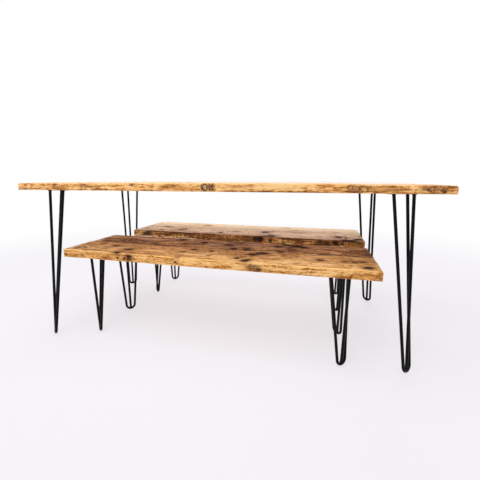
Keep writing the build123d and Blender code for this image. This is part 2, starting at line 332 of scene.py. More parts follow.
                (-241, 152, 26, 17, 0.85), (-104, 116, 20, 19, 0.88), (-190, 64, 14, 11, 0.72),
                (-533, 103, 24, 8, 0.7), (-507, 58, 14, 9, 0.7), (-352, 42, 20, 12, 0.55),
                (-330, 12, 16, 9, 0.6), (37, 97, 30, 18, 0.72), (73, 160, 22, 22, 0.55),
                (79, 24, 19, 17, 0.96), (142, 30, 22, 26, 0.70), (152, 2, 20, 24, 0.66),
                (313, 168, 20, 20, 0.88), (370, 150, 30, 24, 0.97), (404, 128, 24, 16, 0.95),
                (280, 120, 26, 22, 0.66), (358, 54, 24, 30, 0.52), (305, 15, 15, 12, 0.86),
                (638, 115, 20, 12, 0.50), (662, 14, 14, 10, 0.45), (-610, 140, 12, 8, 0.5),
                (210, 90, 10, 8, 0.5), (510, 40, 12, 7, 0.55), (-440, 170, 14, 8, 0.5),
            ],
            rear=[(120, 17, 14, 10, 0.8), (-420, 20, 12, 8, 0.7), (540, 15, 15, 9, 0.75)],
        ),
        stains_and_shade=dict(
            top=[(-250, 12, 150, 13, 0.72), (-600, 22, 90, 16, 0.45), (300, 60, 110, 60, 0.22),
                 (684, 60, 20, 120, 0.18), (50, 150, 90, 40, 0.14), (340, 130, 100, 50, 0.30),
                 (-150, 110, 160, 40, 0.06)],
        ),
        lights=dict(top=[(-640, 140, 60, 26, 0.35), (560, 60, 80, 20, 0.2)]),
        # painted sheen: grey patches where light glances off this plank's top; the last is a painted highlight along
        # its rear arris
        painted_sheen=dict(top=[(-425, 112, 30, 26, 0.75), (-36, 80, 50, 26, 0.7), (40, 60, 60, 40, 0.35),
                        (160, 130, 60, 30, 0.35), (-560, 176, 120, 12, 0.55)]),
    ),
    "rear_bench_plank_front": dict(
        # painted shade: the negative edge value and the darker edge tint darken this plank's front edge, which sits in
        # shade under the table behind the front bench
        shine=(0.26, 0.23), polish=0.60, dull=0.14, edge_tint=(1.0, 0.97, 0.74), edge_lift_shade=-0.20, saw=0.30, grain=1.7, saw_lean=0.0, saw_marks=0.95, saw_cell=20.0,
        pith=(-40.0, -80.0), spacing=4.4, tone=0.22, seed=29.0,
        sawn=dict(front=[(0, 19, 760, 60, 0.7)]),
        strokes=dict(
            top=[(604, -130, 44, 9, 0.80, 80), (560, -96, 46, 12, 0.62, 10), (664, -140, 40, 12, 0.95, -14),
                 (-470, -184, 220, 7, 0.70, 0), (172, -110, 60, 9, 0.62, 78), (-530, -20, 50, 8, 0.70, -8),
                 (150, -168, 40, 14, 0.85, 20), (620, -170, 46, 12, 0.90, 6), (-130, -150, 40, 12, 0.55, 60)],
            front=[(96, 30, 46, 4, 0.85, -4), (-592, 33, 30, 3.4, 0.90, 2), (-592, 8, 36, 3.4, 0.88, 2), (600, 34, 90, 3.4, 0.88, -2),
                   (470, 8, 70, 4, 0.62, 4), (-250, 7, 180, 4, 0.45, 1)],
        ),
        knots=dict(
            top=[
                (-547, -14, 24, 17, 0.90), (-503, -12, 12, 9, 0.6), (-405, -88, 32, 28, 0.55),
                (-527, -140, 14, 15, 0.72), (-641, -125, 18, 14, 0.4), (-129, -130, 14, 20, 0.66),
                (138, -46, 26, 32, 0.72), (179, -22, 10, 10, 0.6), (191, -154, 30, 26, 0.97),
                (154, -172, 18, 14, 0.92), (569, -98, 26, 24, 0.85), (671, -142, 26, 22, 0.97),
                (606, -120, 8, 40, 0.6), (592, -178, 20, 12, 0.95), (636, -176, 26, 12, 0.97),
                (-173, -184, 30, 12, 0.6), (330, -24, 40, 12, 0.42),
            ],
            front=[
                (-596, 20, 30, 15, 0.74), (-618, 16, 14, 13, 0.70), (130, 20, 24, 18, 0.99),
                (104, 19, 18, 16, 0.84), (192, 15, 9, 13, 0.98), (350, 23, 9, 6, 0.80),
                (378, 19, 8, 6, 0.76), (548, 22, 18, 16, 0.99), (582, 19, 7, 10, 0.985),
                (566, 10, 8, 7, 0.7), (640, 12, 9, 7, 0.6), (470, 21, 22, 14, 0.62), (505, 18, 18, 15, 0.66),
                (668, 22, 7, 8, 0.62),
            ],
        ),
        stains_and_shade=dict(
            top=[(0, -192, 720, 14, 0.42), (340, 60, 300, 8, 0.3), (-420, -110, 120, 50, 0.25)],
            front=[
                (-506, 20, 10, 22, 0.5), (-466, 20, 22, 14, 0.45), (80, 18, 60, 15, 0.7),
                (474, 20, 66, 16, 0.72), (-60, 10, 140, 9, 0.15), (-250, 10, 120, 9, 0.15),
                (300, 10, 100, 10, 0.2), (640, 33, 66, 6, 0.85), (0, 36, 720, 2.4, 0.35),
                (470, 20, 62, 17, 0.85), (92, 19, 40, 18, 0.85), (660, 8, 50, 9, 0.35),
            ],
        ),
        # painted light: the pale zones on this plank's top brighten it as if more light and sheen fell on it
        lights=dict(top=[(-420, -60, 300, 60, 0.35), (330, -60, 330, 50, 0.35), (100, -30, 600, 20, 0.3)], front=[(170, 16, 11, 10, 0.75), (-660, 20, 30, 10, 0.35)]),
        reds=dict(front=[(165, 14, 16, 12, 0.8), (-60, 22, 200, 10, 0.35), (620, 14, 60, 12, 0.4)]),
        # painted sheen: a grey patch of reflected light on the top
        painted_sheen=dict(top=[(-130, -90, 80, 30, 0.35)]),
    ),
    # painted light: this plank's pale tone, its strong pale mix and the pale zones on its top brighten the strip that
    # stands out past the table's rear edge, where light falls on it; the plank is also yellower wood
    "rear_bench_plank_rear": dict(
        shine=(0.27, 0.22), polish=0.62, dull=0.05, edge_tint=(0.98, 0.78, 0.52), edge_lift_shade=-0.3, saw=0.4, grain=2.0,
        pith=(130.0, 120.0), spacing=4.6, tone=-0.36, pale_and_lit_mix=0.80, seed=41.0,
        lights=dict(top=[(330, 130, 440, 52, 1.0), (-560, 140, 160, 50, 0.7), (-150, 120, 200, 60, 0.75)]),
        knots=dict(top=[(-300, 110, 26, 14, 0.6), (240, 140, 22, 12, 0.5), (560, 60, 18, 10, 0.5)],
                   rear=[(60, 16, 15, 10, 0.8), (-520, 20, 13, 9, 0.75), (400, 18, 12, 8, 0.7)]),
        stains_and_shade=dict(top=[(420, 66, 300, 8, 0.6), (300, 18, 330, 9, 0.55), (-300, 60, 200, 8, 0.4)]),
        reds=dict(top=[(-637, 102, 26, 20, 0.4), (330, 16, 340, 20, 0.6)]),
    ),
}


def marks(name, kind):
    """One kind of mark on one plank: centre, half axes, strength, face, lean."""
    body = "table" if name.startswith("table") else name.rsplit("_plank", 1)[0]
    half, thick = PLACES[body]["width"] / 2, PLACES[body]["thick"]
    found = []
    for face, rows in PLANKS[name].get(kind, {}).items():
        for x, v, rx, rv, amount, *lean in rows:
            lean = math.radians(lean[0]) if lean else 0.0
            if face == "top":
                if kind == "knots":
                    rx, rv = rx * 1.06, rv * 1.28
                # one by the edge is a branch that dives before it gets there
                deep = 14.0 if kind != "stains_and_shade" and abs(v) + rv > half - 12 else 60.0
                found.append(((x, v, thick), (rx, rv, deep), amount, face, lean))
            else:
                side = -half if face == "front" else half
                found.append(((x, side, v), (rx, 55.0, rv), amount, face, lean))
    return found


# --------------------------------------------------------------------------
# Materials
# --------------------------------------------------------------------------
def waxed_pine(name, pith, spacing, tone, seed, shine=(0.14, 0.56), dull=0.14, coat=0.0, edge_lift_shade=0.0,
               stain_and_shade_colour=(0.085, 0.036, 0.014), edge_tint=(1.0, 0.91, 0.78), saw=0.20, polish=0.14, arris_wear_highlight=0.25, grain=1.0, saw_lean=-0.45, saw_marks=0.62, saw_cell=7.0, pale_and_lit_mix=0.42, **_):
    body = "table" if name.startswith("table") else name.rsplit("_plank", 1)[0]
    half, length = PLACES[body]["width"] / 2, PLACES[body]["length"] / 2
    n = Net(name + "_pine")
    p = n.scale(n.new("ShaderNodeTexCoord").outputs["Object"], 1000.0)
    q = n.vec("ADD", p, (seed * 317.0, seed * 71.0, seed * 53.0))

    def wander(cell, reach, detail, rough):
        _, c = n.noise(n.vec("MULTIPLY", q, tuple(1 / v for v in cell)), detail=detail, rough=rough)
        return n.vec("MULTIPLY", n.vec("SUBTRACT", c, (0.5, 0.5, 0.5)), reach)

    # the trunk wanders along the plank, swirls bend the lines, and small
    # tears make every outline ragged
    slow = wander((420, 150, 150), (0, 60, 60), 1.5, 0.45)
    swirl = wander((95, 26, 26), (26, 17, 17), 2.0, 0.5)
    ragged = wander((17, 6.5, 6.5), (17, 8, 8), 3.0, 0.62)
    near = n.vec("ADD", n.vec("ADD", p, n.scale(swirl, 0.50)), n.scale(ragged, 1.65))
    far = n.vec("ADD", n.vec("ADD", n.vec("ADD", p, slow), swirl), n.scale(ragged, 0.30))
    radius = n.vec(
        "LENGTH",
        n.vec("MULTIPLY", n.vec("SUBTRACT", far, (0, pith[0], pith[1])), (0, 1, 1)),
    )

    def distance(centre, axes, lean=0.0, face="top"):
        scale = tuple(1 / v for v in axes)
        if not lean:
            shift = tuple(-a * b for a, b in zip(centre, scale))
            return n.vec("LENGTH", n.vec("MULTIPLY_ADD", near, scale, shift))
        angles = (0.0, 0.0, -lean) if face == "top" else (0.0, lean, 0.0)
        local = n.turned(n.vec("SUBTRACT", near, centre), angles)
        return n.vec("LENGTH", n.vec("MULTIPLY", local, scale))

    def most(a, b):
        return b if a is None else n.math("MAXIMUM", a, b)

    # each knot is a branch: its own rings push the trunk's rings aside
    inside = halo = core = eye = None
    for kind in ("knots", "eyes", "strokes"):
        for c, r, dark, face, lean in marks(name, kind):
            d = distance(c, r, lean, face)
            if kind == "strokes":
                inside = most(inside, n.ranged(d, 0.45, 1.15, dark, 0.0))
                if dark > 0.8:
                    core = most(core, n.ranged(d, 0.2, 0.85, dark, 0.0))
                halo = most(halo, n.ranged(d, 0.8, 2.0, 0.5 * dark, 0.0))
                continue
            local = math.hypot(c[1] - pith[0], c[2] - pith[1])
            rise = max(14.0, 1.5 * min(r))
            ring = n.math("MULTIPLY_ADD", d, rise, local - rise)
            radius = n.math("SMOOTH_MIN", radius, ring, 8.0)
            if kind == "eyes":
                rim = n.math("ABSOLUTE", n.math("SUBTRACT", d, 0.92))
                inside = most(inside, n.ranged(rim, 0.12, 0.42, dark, 0.0))
                eye = most(eye, n.ranged(d, 0.45, 0.80, 1.0, 0.0))
            else:
                inside = most(inside, n.ranged(d, 0.74, 1.14, dark, 0.0))
                if dark > 0.6:
                    core = most(core, n.ranged(d, 0.40, 0.95, dark, 0.0))
            halo = most(halo, n.ranged(d, 0.8, 2.4, 0.30 + 0.6 * dark, 0.0))

    # growth rings: uneven bands, and within them thin dark late wood
    bands = n.ranged(n.noise1(radius, scale=0.085, detail=3.5, rough=0.66), 0.30, 0.70, 0.0, 1.0, "LINEAR")
    wobble = n.math("MULTIPLY", n.noise1(radius, scale=0.05, detail=1.0), 3.0)
    turn = n.math("FRACT", n.math("ADD", n.math("DIVIDE", radius, spacing), wobble))
    late = n.ramp(
        turn,
        [(0.0, (0.28,) * 3), (0.12, (0.05,) * 3), (0.55, (0.2,) * 3), (0.86, (0.95,) * 3), (0.95, (0.85,) * 3), (1.0, (0.28,) * 3)],
    )

    def texture(cell, detail, rough, low, high, at=q):
        f, _ = n.noise(n.vec("MULTIPLY", at, tuple(1 / v for v in cell)), detail=detail, rough=rough)
        return n.ranged(f, low, high, 0.0, 1.0, "LINEAR")

    bent = n.vec("ADD", q, swirl)
    fibre = texture((70, 1.5, 1.5), 4.0, 0.65, 0.28, 0.72)
    streak = texture((85, 7.0, 7.0), 3.0, 0.62, 0.37, 0.63, bent)
    broad = texture((105, 20, 20), 2.0, 0.55, 0.36, 0.64, bent)
    mottle = texture((19, 7.5, 7.5), 3.0, 0.62, 0.37, 0.63, bent)
    patch = texture((210, 44, 44), 2.0, 0.5, 0.36, 0.64)
    tears = texture((6.0, 60, 18), 3.0, 0.65, 0.48, 0.76)
    hatch = texture((saw_cell, 90, 80), 2.5, 0.66, 0.38, 0.64, n.turned(q, (0.0, saw_lean, 0.0)))
    curl, _ = n.noise(n.vec("MULTIPLY", bent, (1 / 20.0, 1 / 15.0, 1 / 15.0)), detail=2.5, rough=0.62)
    curl = n.ranged(n.math("ABSOLUTE", n.math("SUBTRACT", curl, 0.5)), 0.0, 0.075, 1.0, 0.0)

    axes = n.new("ShaderNodeSeparateXYZ")
    n.put(axes.inputs[0], p)
    across = n.math("ABSOLUTE", axes.outputs[1])
    along = n.math("ABSOLUTE", axes.outputs[0])
    on_edge = n.ranged(across, half - 5.0, half - 1.5, 0.0, 1.0)
    on_end = n.ranged(along, length - 3.5, length - 0.8, 0.0, 1.0)

    value = n.math("MULTIPLY_ADD", bands, 0.50, -1.00)
    value = n.math("MULTIPLY_ADD", late, 0.34, value)
    value = n.math("MULTIPLY_ADD", streak, 0.58, value)
    value = n.math("MULTIPLY_ADD", broad, 0.26, value)
    value = n.math("MULTIPLY_ADD", mottle, 0.50, value)
    value = n.math("MULTIPLY_ADD", fibre, 0.16, value)
    value = n.math("MULTIPLY_ADD", patch, 0.12, value)
    speck = texture((9, 2.4, 2.4), 2.0, 0.5, 0.62, 0.76)
    value = n.math("MULTIPLY_ADD", speck, 0.34, value)
    if grain != 1.0:
        value = n.math("MULTIPLY_ADD", value, grain, 0.20 * (1.0 - grain))
    lively = n.math("SUBTRACT", 1.0, on_end)
    if body == "table":
        lively = n.math("MULTIPLY", lively, on_edge)
    calm = n.math("MULTIPLY_ADD", value, 0.55, 0.09)
    value = n.math("MULTIPLY_ADD", lively, n.math("SUBTRACT", value, calm), calm)
    # stains darken the wood; some of these marks are painted shade, such as the line under the table's lower front
    # arris
    stain_and_shade = None
    for c, r, amount, face, lean in marks(name, "stains_and_shade"):
        stain_and_shade = most(stain_and_shade, n.ranged(distance(c, r, lean, face), 0.45, 1.20, amount, 0.0))
    if stain_and_shade is not None:
        value = n.math("MULTIPLY_ADD", n.math("MULTIPLY", stain_and_shade, n.math("MULTIPLY_ADD", streak, 0.7, 0.65)), 0.42, value)
    value = n.math("MULTIPLY_ADD", n.math("MULTIPLY", tears, on_edge), saw, value)
    # the long edge faces paled as a whole, and darkened where the value is negative: on the rear bench's front edge
    # this darkening is painted shade from under the table
    if edge_lift_shade:
        value = n.math("MULTIPLY_ADD", on_edge, -edge_lift_shade, value)
    value = n.math("MULTIPLY_ADD", on_end, 0.14, value)
    thick = PLACES[body]["thick"]
    # the top arris of each long edge made paler: partly wear, and partly a painted highlight where light catches the
    # arris
    worn_lit_arris = n.math(
        "MULTIPLY",
        n.ranged(across, half - 7.0, half - 3.0, 0.0, 1.0),
        n.ranged(axes.outputs[2], thick - 7.0, thick - 3.0, 0.0, 1.0),
    )
    value = n.math("MULTIPLY_ADD", n.math("MULTIPLY", worn_lit_arris, mottle), -arris_wear_highlight, value)
    sawn = None
    for c, r, amount, face, lean in marks(name, "sawn"):
        sawn = most(sawn, n.ranged(distance(c, r), 0.6, 1.1, amount, 0.0))
    if sawn is not None:
        value = n.math("MULTIPLY_ADD", n.math("MULTIPLY", hatch, n.math("MULTIPLY", sawn, on_edge)), saw_marks, value)
    # pale zones, partly pale wood and partly painted light, and burls with dark curling lines in them
    pale = burl = None
    for c, r, amount, face, lean in marks(name, "lights"):
        pale = most(pale, n.ranged(distance(c, r, lean, face), 0.45, 1.20, amount, 0.0))
    if pale is not None:
        pale = n.math("MULTIPLY", pale, n.math("MULTIPLY_ADD", mottle, -0.40, 1.15))
        value = n.math("MULTIPLY_ADD", pale, -0.46, value)
    for c, r, amount, face, lean in marks(name, "burls"):
        burl = most(burl, n.ranged(distance(c, r, lean, face), 0.55, 1.15, amount, 0.0))
    if burl is not None:
        curled = n.math("MULTIPLY", burl, curl)
        value = n.math("MULTIPLY_ADD", curled, 0.74, value)
        value = n.math("MULTIPLY_ADD", burl, -0.12, value)
    value = n.math("ADD", value, 0.20 + (tone - 0.5) * 0.55, clamp=True)
    colour = n.ramp(
        value,
        [
            (0.0, (0.96, 0.66, 0.31)), (0.22, (0.85, 0.49, 0.175)),
            (0.44, (0.68, 0.340, 0.105)), (0.64, (0.47, 0.212, 0.058)),
            (0.82, (0.27, 0.114, 0.032)), (1.0, (0.12, 0.048, 0.016)),
        ],
    )
    # wax and age: some zones redder, some greyer
    warm = texture((190, 34, 34), 2.0, 0.5, 0.50, 0.72)
    colour = n.mix(n.math("MULTIPLY", warm, 0.34), colour, (0.54, 0.190, 0.036))
    greyed = texture((150, 26, 26), 3.0, 0.6, 0.52, 0.78)
    colour = n.mix(n.math("MULTIPLY", greyed, dull), colour, (0.27, 0.145, 0.070))
    # short dark pores and specks
    colour = n.mix(n.math("MULTIPLY", speck, 0.24), colour, (0.13, 0.055, 0.020))

    colour = n.mix(on_edge, colour, edge_tint, "MULTIPLY")

    def zones(kind, tint, reach):
        nonlocal colour
        mask = None
        for c, r, amount, face, lean in marks(name, kind):
            mask = most(mask, n.ranged(distance(c, r, lean, face), 0.45, 1.20, amount, 0.0))
        if mask is not None:
            uneven = n.math("MULTIPLY_ADD", streak, -reach, 1.18)
            colour = n.mix(n.math("MULTIPLY", mask, uneven, clamp=True), colour, tint)

    zones("reds", (0.50, 0.185, 0.038), 0.5)
    # the stain colour, which also colours the painted shade marks
    if stain_and_shade is not None:
        colour = n.mix(n.math("MULTIPLY", stain_and_shade, n.math("MULTIPLY_ADD", streak, -0.25, 0.55)), colour, stain_and_shade_colour)
    if burl is not None:
        tinted = n.math("MULTIPLY_ADD", curled, 0.62, n.math("MULTIPLY", burl, 0.06))
        colour = n.mix(tinted, colour, (0.130, 0.052, 0.040))
    # painted sheen: grey patches that stand in for light glancing off the tops, and a highlight along the front
    # bench's rear arris
    zones("painted_sheen", (0.56, 0.455, 0.41), 0.4)
    # pale wood, and on the rear bench's tops painted light
    if pale is not None:
        colour = n.mix(n.math("MULTIPLY", pale, pale_and_lit_mix), colour, (0.97, 0.67, 0.33))

    if inside is not None:
        colour = n.mix(n.math("MULTIPLY", halo, 0.74), colour, (0.30, 0.118, 0.031))
        heart = n.mix(n.math("MULTIPLY_ADD", bands, 0.75, n.math("MULTIPLY", fibre, 0.25)), (0.026, 0.011, 0.006), (0.15, 0.056, 0.019))
        inside = n.math("MULTIPLY", inside, n.math("MULTIPLY_ADD", streak, -0.30, 1.0))
        colour = n.mix(inside, colour, heart)
        if core is not None:
            colour = n.mix(n.math("MULTIPLY", core, 0.90), colour, (0.013, 0.009, 0.008))
        if eye is not None:
            colour = n.mix(eye, colour, n.mix(bands, (0.60, 0.47, 0.26), (0.42, 0.29, 0.14)))

    level, base_rough = shine
    rough = n.math("MULTIPLY_ADD", fibre, 0.10, base_rough - 0.05)
    rough = n.math("MULTIPLY_ADD", value, polish, rough)
    if inside is not None:
        rough = n.math("MULTIPLY_ADD", inside, 0.12 + polish, rough, clamp=True)
    height = n.math("MULTIPLY_ADD", fibre, 0.5, n.math("MULTIPLY", late, -0.35))
    height = n.math("MULTIPLY_ADD", speck, -0.3, height)
    height = n.math("MULTIPLY_ADD", n.math("MULTIPLY", tears, on_edge), -0.5, height)
    height = n.math("MULTIPLY_ADD", mottle, 0.5, height)
    normal = n.bump(height, 0.0006, 0.8)
    return n.finish(
        colour, rough, normal, Specular_IOR_Level=level, Coat_Weight=coat, Coat_Roughness=0.07
    )


def black_coat(name, base, rough_low, rough_high):
    n = Net(name)
    p = n.scale(n.new("ShaderNodeTexCoord").outputs["Object"], 1000.0)
    fine, _ = n.noise(n.scale(p, 1 / 0.7), detail=2.0, rough=0.5)
    worn, _ = n.noise(n.scale(p, 1 / 38.0), detail=4.0, rough=0.65)
    scuff, _ = n.noise(n.vec("MULTIPLY", p, (1 / 3.0, 1 / 3.0, 1 / 14.0)), detail=3.0, rough=0.7)
    z = n.new("ShaderNodeSeparateXYZ")
    n.put(z.inputs[0], p)
    foot = n.ranged(z.outputs[2], 2.0, 60.0, 1.0, 0.0)
    wear = n.math("MULTIPLY", n.ranged(scuff, 0.58, 0.72, 0.0, 1.0), n.math("MULTIPLY_ADD", foot, 0.55, 0.10))
    colour = n.mix(n.ranged(worn, 0.35, 0.7, 0.0, 1.0), base, tuple(1.8 * v for v in base))
    colour = n.mix(wear, colour, (0.030, 0.029, 0.028))
    rough = n.math("MULTIPLY_ADD", worn, rough_high - rough_low, rough_low)
    rough = n.math("MULTIPLY_ADD", wear, 0.2, rough)
    normal = n.bump(fine, 0.00008, 0.35)
    return n.finish(colour, rough, normal, Specular_IOR_Level=0.10)


def plain_beech(name):
    n = Net(name)
    p = n.scale(n.new("ShaderNodeTexCoord").outputs["Object"], 1000.0)
    fleck, _ = n.noise(n.vec("MULTIPLY", p, (1 / 1.2, 1 / 7.0, 1 / 1.2)), detail=3.0, rough=0.6)
    colour = n.ramp(fleck, [(0.3, (0.74, 0.52, 0.31)), (0.6, (0.62, 0.40, 0.22)), (0.75, (0.45, 0.27, 0.14))])
    return n.finish(colour, n.math("MULTIPLY_ADD", fleck, 0.2, 0.5), n.bump(fleck, 0.0001, 0.5))


MATERIALS = {k: waxed_pine(k, **v) for k, v in PLANKS.items()}
COAT = black_coat("black_powder_coat", (0.0030, 0.0030, 0.0034), 0.34, 0.50)
ZINC = black_coat("black_zinc_screws", (0.022, 0.021, 0.023), 0.26, 0.42)
BEECH = plain_beech("beech_dowels")


# --------------------------------------------------------------------------
# Planks: a fine grid over the whole surface, rounded and worn as real shape
# --------------------------------------------------------------------------
def lines(low, high, step, close=(0.7, 1.5, 2.5, 3.8, 5.4, 7.6, 10.4, 14.0), ends=(True, True)):
    """Grid positions that are close together near the ends."""
    inner = [v for v in close if v < (high - low) / 2 - 1]
    a = [low] + ([low + v for v in inner] if ends[0] else [low + 1.6])
    b = [high] + ([high - v for v in inner] if ends[1] else [high - 1.6])
    start, stop = max(a), min(b)
    count = max(2, int(round((stop - start) / step)))
    middle = np.linspace(start, stop, count + 1)
    return np.unique(np.concatenate([a, middle, b]))


def value_noise(seed, *coords):
    """Smooth repeatable noise from -1 to 1 in one to three dimensions."""
    cells = [np.floor(c).astype(np.int64) for c in coords]
    parts = [c - np.floor(c) for c in coords]
    parts = [t * t * (3 - 2 * t) for t in parts]
    total = np.zeros(np.broadcast(*coords).shape if len(coords) > 1 else coords[0].shape)
    for corner in range(1 << len(coords)):
        h = np.full(total.shape, seed * 7919 + 17, np.int64)
        w = np.ones(total.shape)
        for i, (c, t) in enumerate(zip(cells, parts)):
            bit = corner >> i & 1
            h = h * 6364136223846793005 + (c + bit) * (1442695040888963407 + 2 * i)
            h ^= h >> 29
            w = w * (t if bit else 1 - t)
        total += w * ((h & 0xFFFFFF) / float(0xFFFFFF) * 2 - 1)
    return total


def fractal(seed, *coords, octaves=3, rough=0.5):
    total, amplitude, scale = 0, 1.0, 1.0
    for o in range(octaves):
        total = total + amplitude * value_noise(seed + o * 101, *[c * scale for c in coords])
        amplitude *= rough
        scale *= 2.03
    return total


DIPS = ((-900.0, -620.0, -230.0, 2.9), (900.0, 740.0, 480.0, 2.6))


def plank_mesh(name, body, index, extra=()):
    place = PLACES[body]
    length, width, thick = place["length"], place["width"], place["thick"]
    each = width / place["planks"]
    y0 = -width / 2 + index * each
    y1 = y0 + each
    front, rear = index == 0, index == place["planks"] - 1
    spec = PLANKS[name]
    seed = int(spec["seed"])

    xs = lines(-length / 2, length / 2, 5.0)
    ys = lines(y0, y1, 3.6, ends=(front, rear))
    zs = lines(0.0, thick, 2.8, close=(0.7, 1.5, 2.5, 3.8, 5.4, 7.6))
    nx, ny, nz = len(xs), len(ys), len(zs)

    keys, quads = [], []

    def face(fixed, value, a, b, flip):
        grid = np.zeros((len(a), len(b), 3), np.int64)
        others = [i for i in range(3) if i != fixed]
        grid[..., fixed] = value
        grid[..., others[0]] = np.arange(len(a))[:, None]
        grid[..., others[1]] = np.arange(len(b))[None, :]
        flat = (grid[..., 0] * ny + grid[..., 1]) * nz + grid[..., 2]
        q = np.stack([flat[:-1, :-1], flat[1:, :-1], flat[1:, 1:], flat[:-1, 1:]], -1).reshape(-1, 4)
        quads.append(q[:, ::-1] if flip else q)
        keys.append(flat.ravel())

    face(2, nz - 1, xs, ys, False)
    face(2, 0, xs, ys, True)
    face(1, 0, xs, zs, False)
    face(1, ny - 1, xs, zs, True)
    face(0, 0, ys, zs, True)
    face(0, nx - 1, ys, zs, False)
    used, inverse = np.unique(np.concatenate(quads).ravel(), return_inverse=True)
    faces = inverse.reshape(-1, 4)
    i, rest = np.divmod(used, ny * nz)
    j, k = np.divmod(rest, nz)
    p = np.stack([xs[i], ys[j], zs[k]], -1)
    on_top, on_low = k == nz - 1, k == 0

    # the outline in plan: outer corners rounded, long edges slightly wavy
    x, y, z = p[:, 0].copy(), p[:, 1].copy(), p[:, 2].copy()
    corner = {c: r for c, r in extra.get("corners", {}).items()} if extra else {}
    for sx in (-1, 1):
        for sy, outer in ((-1, front), (1, rear)):
            if not outer:
                continue
            r = corner.get((sx, sy), 9.0)
            cx, cy = sx * (length / 2 - r), (y0 + r if sy < 0 else y1 - r)
            dx, dy = (x - cx) * sx, (y - cy) * sy
            inside = (dx > 0) & (dy > 0)
            m, h = np.maximum(dx, dy), np.hypot(dx, dy)
            s = np.where(inside & (h > 0), m / np.maximum(h, 1e-9), 1.0)
            x = np.where(inside, cx + sx * dx * s, x)
            y = np.where(inside, cy + sy * dy * s, y)

    # distance in from the outline, and the way inward
    big = 1e6
    away = np.full(len(x), big)
    inward = np.zeros((len(x), 2))

    def nearer(dist, nxv, nyv, where=None):
        take = dist < away
        if where is not None:
            take &= where
        away[take] = dist[take]
        inward[take, 0] = nxv[take] if hasattr(nxv, "shape") else nxv
        inward[take, 1] = nyv[take] if hasattr(nyv, "shape") else nyv

    nearer(length / 2 + x, 1.0, 0.0)
    nearer(length / 2 - x, -1.0, 0.0)
    if front:
        nearer(y - y0, 0.0, 1.0)
    if rear:
        nearer(y1 - y, 0.0, -1.0)
    for sx in (-1, 1):
        for sy, outer in ((-1, front), (1, rear)):
            if not outer:
                continue
            r = corner.get((sx, sy), 9.0)
            cx, cy = sx * (length / 2 - r), (y0 + r if sy < 0 else y1 - r)
            dx, dy = (x - cx), (y - cy)
            zone = (dx * sx > 0) & (dy * sy > 0)
            h = np.maximum(np.hypot(dx, dy), 1e-9)
            away[zone] = (r - h)[zone]
            inward[zone, 0] = (-dx / h)[zone]
            inward[zone, 1] = (-dy / h)[zone]
    away = np.maximum(away, 0.0)

    # worn arrises: the radius changes along the edge
    run = x + y * 1.7
    base_top = extra.get("arris", 3.8) + 1.3 * fractal(seed + 1, run / 70.0, octaves=3)
    base_top += 1.6 * np.clip(value_noise(seed + 2, run / 23.0) - 0.45, 0, 1)
    base_low = extra.get("low", 2.2) + 0.8 * fractal(seed + 3, run / 60.0, octaves=2)
    for cx, half, more, side in (extra.get("worn", ()) if extra else ()):
        on = np.exp(-(((x - cx) / half) ** 2))
        if side == "front":
            on = on * (y < y0 + 40)
        elif side == "left":
            on = np.exp(-(((x + length / 2) / half) ** 2))
        elif side == "right":
            on = np.exp(-(((x - length / 2) / half) ** 2))
        base_top = base_top + more * on
    for base, upper in ((np.clip(base_top, 1.6, 15.0), True), (np.clip(base_low, 1.0, 6.0), False)):
        s = base - away
        t = (z - (thick - base)) if upper else (base - z)
        zone = (s > 0) & (t > 0)
        m, h = np.maximum(s, t), np.maximum(np.hypot(s, t), 1e-9)
        k_ = np.where(zone, m / h, 1.0)
        move = (s - s * k_) * zone
        x = x + inward[:, 0] * move
        y = y + inward[:, 1] * move
        t2 = t * k_
        z = np.where(zone, (thick - base + t2) if upper else (base - t2), z)

    # the table's boards are planed a little thinner towards their ends
    for end, full, none, most_ in (DIPS if body == "table" else ()):
        t = np.clip((x - none) / (full - none), 0, 1)
        t = t * t * (3 - 2 * t)
        up = np.clip(z / thick * 1.6 - 0.6, 0, 1)
        z = z - most_ * t * up

    # glued edges: a fine V at the joint on top
    if not front:
        z = np.where(on_top & (j == 0), z - 0.7, z)
    if not rear:
        z = np.where(on_top & (j == ny - 1), z - 0.7, z)

    # a planed board is never quite flat, and its edges wander a little
    wave = 0.22 * fractal(seed + 5, x / 160.0, y / 45.0, octaves=3)
    hollow = 0.25 + wave
    z = np.where(on_top & (away > 0), z - np.clip(hollow, 0, 0.8) * np.clip(away / 12.0, 0, 1), z)
    edge = np.clip(0.35 + 0.35 * fractal(seed + 7, run / 110.0, z / 40.0, octaves=3), 0, 1.2)
    fall = np.exp(-((away / 9.0) ** 2)) * ((front & (y < y0 + 40)) | (rear & (y > y1 - 40)) | (np.abs(x) > length / 2 - 30))
    x = x + inward[:, 0] * edge * fall
    y = y + inward[:, 1] * edge * fall

